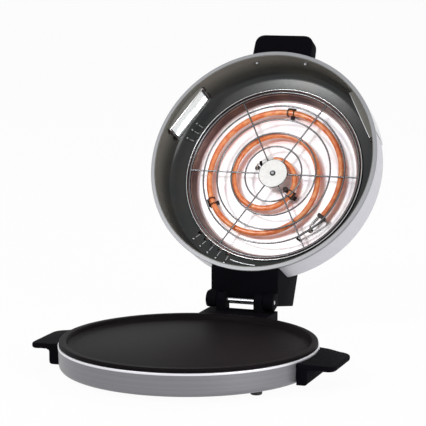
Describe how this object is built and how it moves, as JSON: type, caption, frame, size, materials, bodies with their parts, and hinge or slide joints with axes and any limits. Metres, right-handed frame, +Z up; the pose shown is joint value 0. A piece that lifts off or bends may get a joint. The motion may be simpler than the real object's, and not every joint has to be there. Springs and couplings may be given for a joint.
{
  "type": "electric pizza maker",
  "caption": "Round countertop pizza and flatbread oven: a non-stick baking plate in a low banded base, under a deep domed lid with a guarded spiral element on a rear hinge.",
  "frame": {"origin": "centre of the baking plate's cooking face", "axes": "+X to the user's right, +Y to the rear, where the hinge is, +Z up out of the cooking face"},
  "size_m": [0.3968, 0.5715, 0.3946],
  "materials": {
    "brushed_lid_steel": "satin, fine brushed",
    "satin_band_steel": "satin",
    "plain_steel": "dull mill finish",
    "plate_nonstick": "matt black non-stick coat on cast aluminium",
    "black_phenolic": "matt moulded",
    "grey_enamel": "semi-gloss dark grey enamel",
    "bright_reflector": "bright, slightly heat-tinted",
    "guard_wire": "plated wire",
    "hot_element": "orange, as if glowing",
    "dark_element": "oxidised steel sheath",
    "white_ceramic": "white glazed ceramic",
    "zinc_steel": "zinc plated",
    "black_rubber": "matt",
    "window_glass": "clear, flat"
  },
  "bodies": {
    "base": {"baking_plate": "plate_nonstick", "base_band": "satin_band_steel", "base_floor": "plain_steel", "front_left_foot": "black_rubber", "front_right_foot": "black_rubber", "rear_left_foot": "black_rubber", "rear_right_foot": "black_rubber", "lower_reflector_tray": "bright_reflector", "lower_heating_element": "dark_element", "plate_thermostat": "zinc_steel", "thermal_fuse": "white_ceramic", "terminal_block": "white_ceramic", "cord_gland": "black_phenolic", "centre_spacer": "zinc_steel", "plate_screw_1": "zinc_steel", "plate_screw_2": "zinc_steel", "plate_screw_3": "zinc_steel", "centre_plate_screw": "zinc_steel", "left_side_handle": "black_phenolic", "right_side_handle": "black_phenolic", "left_handle_front_screw": "zinc_steel", "left_handle_rear_screw": "zinc_steel", "right_handle_front_screw": "zinc_steel", "right_handle_rear_screw": "zinc_steel", "left_bracket_screw": "zinc_steel", "right_bracket_screw": "zinc_steel", "left_lower_lead": "white_ceramic", "right_lower_lead": "white_ceramic", "hinge_bracket": "black_phenolic", "hinge_pin": "zinc_steel"},
    "lid": {"lid_shell": "brushed_lid_steel", "lid_liner": "grey_enamel", "reflector_pan": "bright_reflector", "reflector_bezel": "guard_wire", "guard_grille": "guard_wire", "guard_centre_disc": "white_ceramic", "guard_post": "white_ceramic", "guard_screw": "zinc_steel", "upper_heating_element": "hot_element", "element_clip_1": "plain_steel", "element_clip_2": "plain_steel", "element_clip_3": "plain_steel", "element_support_bolt": "plain_steel", "cold_end_sleeve": "white_ceramic", "cold_end_cap": "black_phenolic", "terminal_clamp": "plain_steel", "terminal_beads": "white_ceramic", "terminal_stay": "guard_wire", "live_lid_lead": "white_ceramic", "neutral_lid_lead": "white_ceramic", "right_window_frame": "plain_steel", "right_window_glass": "window_glass", "left_window_frame": "plain_steel", "left_window_glass": "window_glass", "lid_handle": "black_phenolic", "left_lid_handle_screw": "zinc_steel", "right_lid_handle_screw": "zinc_steel", "left_block_screw": "zinc_steel", "right_block_screw": "zinc_steel", "hinge_block": "black_phenolic"}
  },
  "joints": [
    {"name": "lid_hinge", "type": "hinge", "parent": "base", "child": "lid", "pos_m": [0, 0.198, 0.017], "axis": [1, 0, 0], "range_deg": [0, 118]}
  ]
}
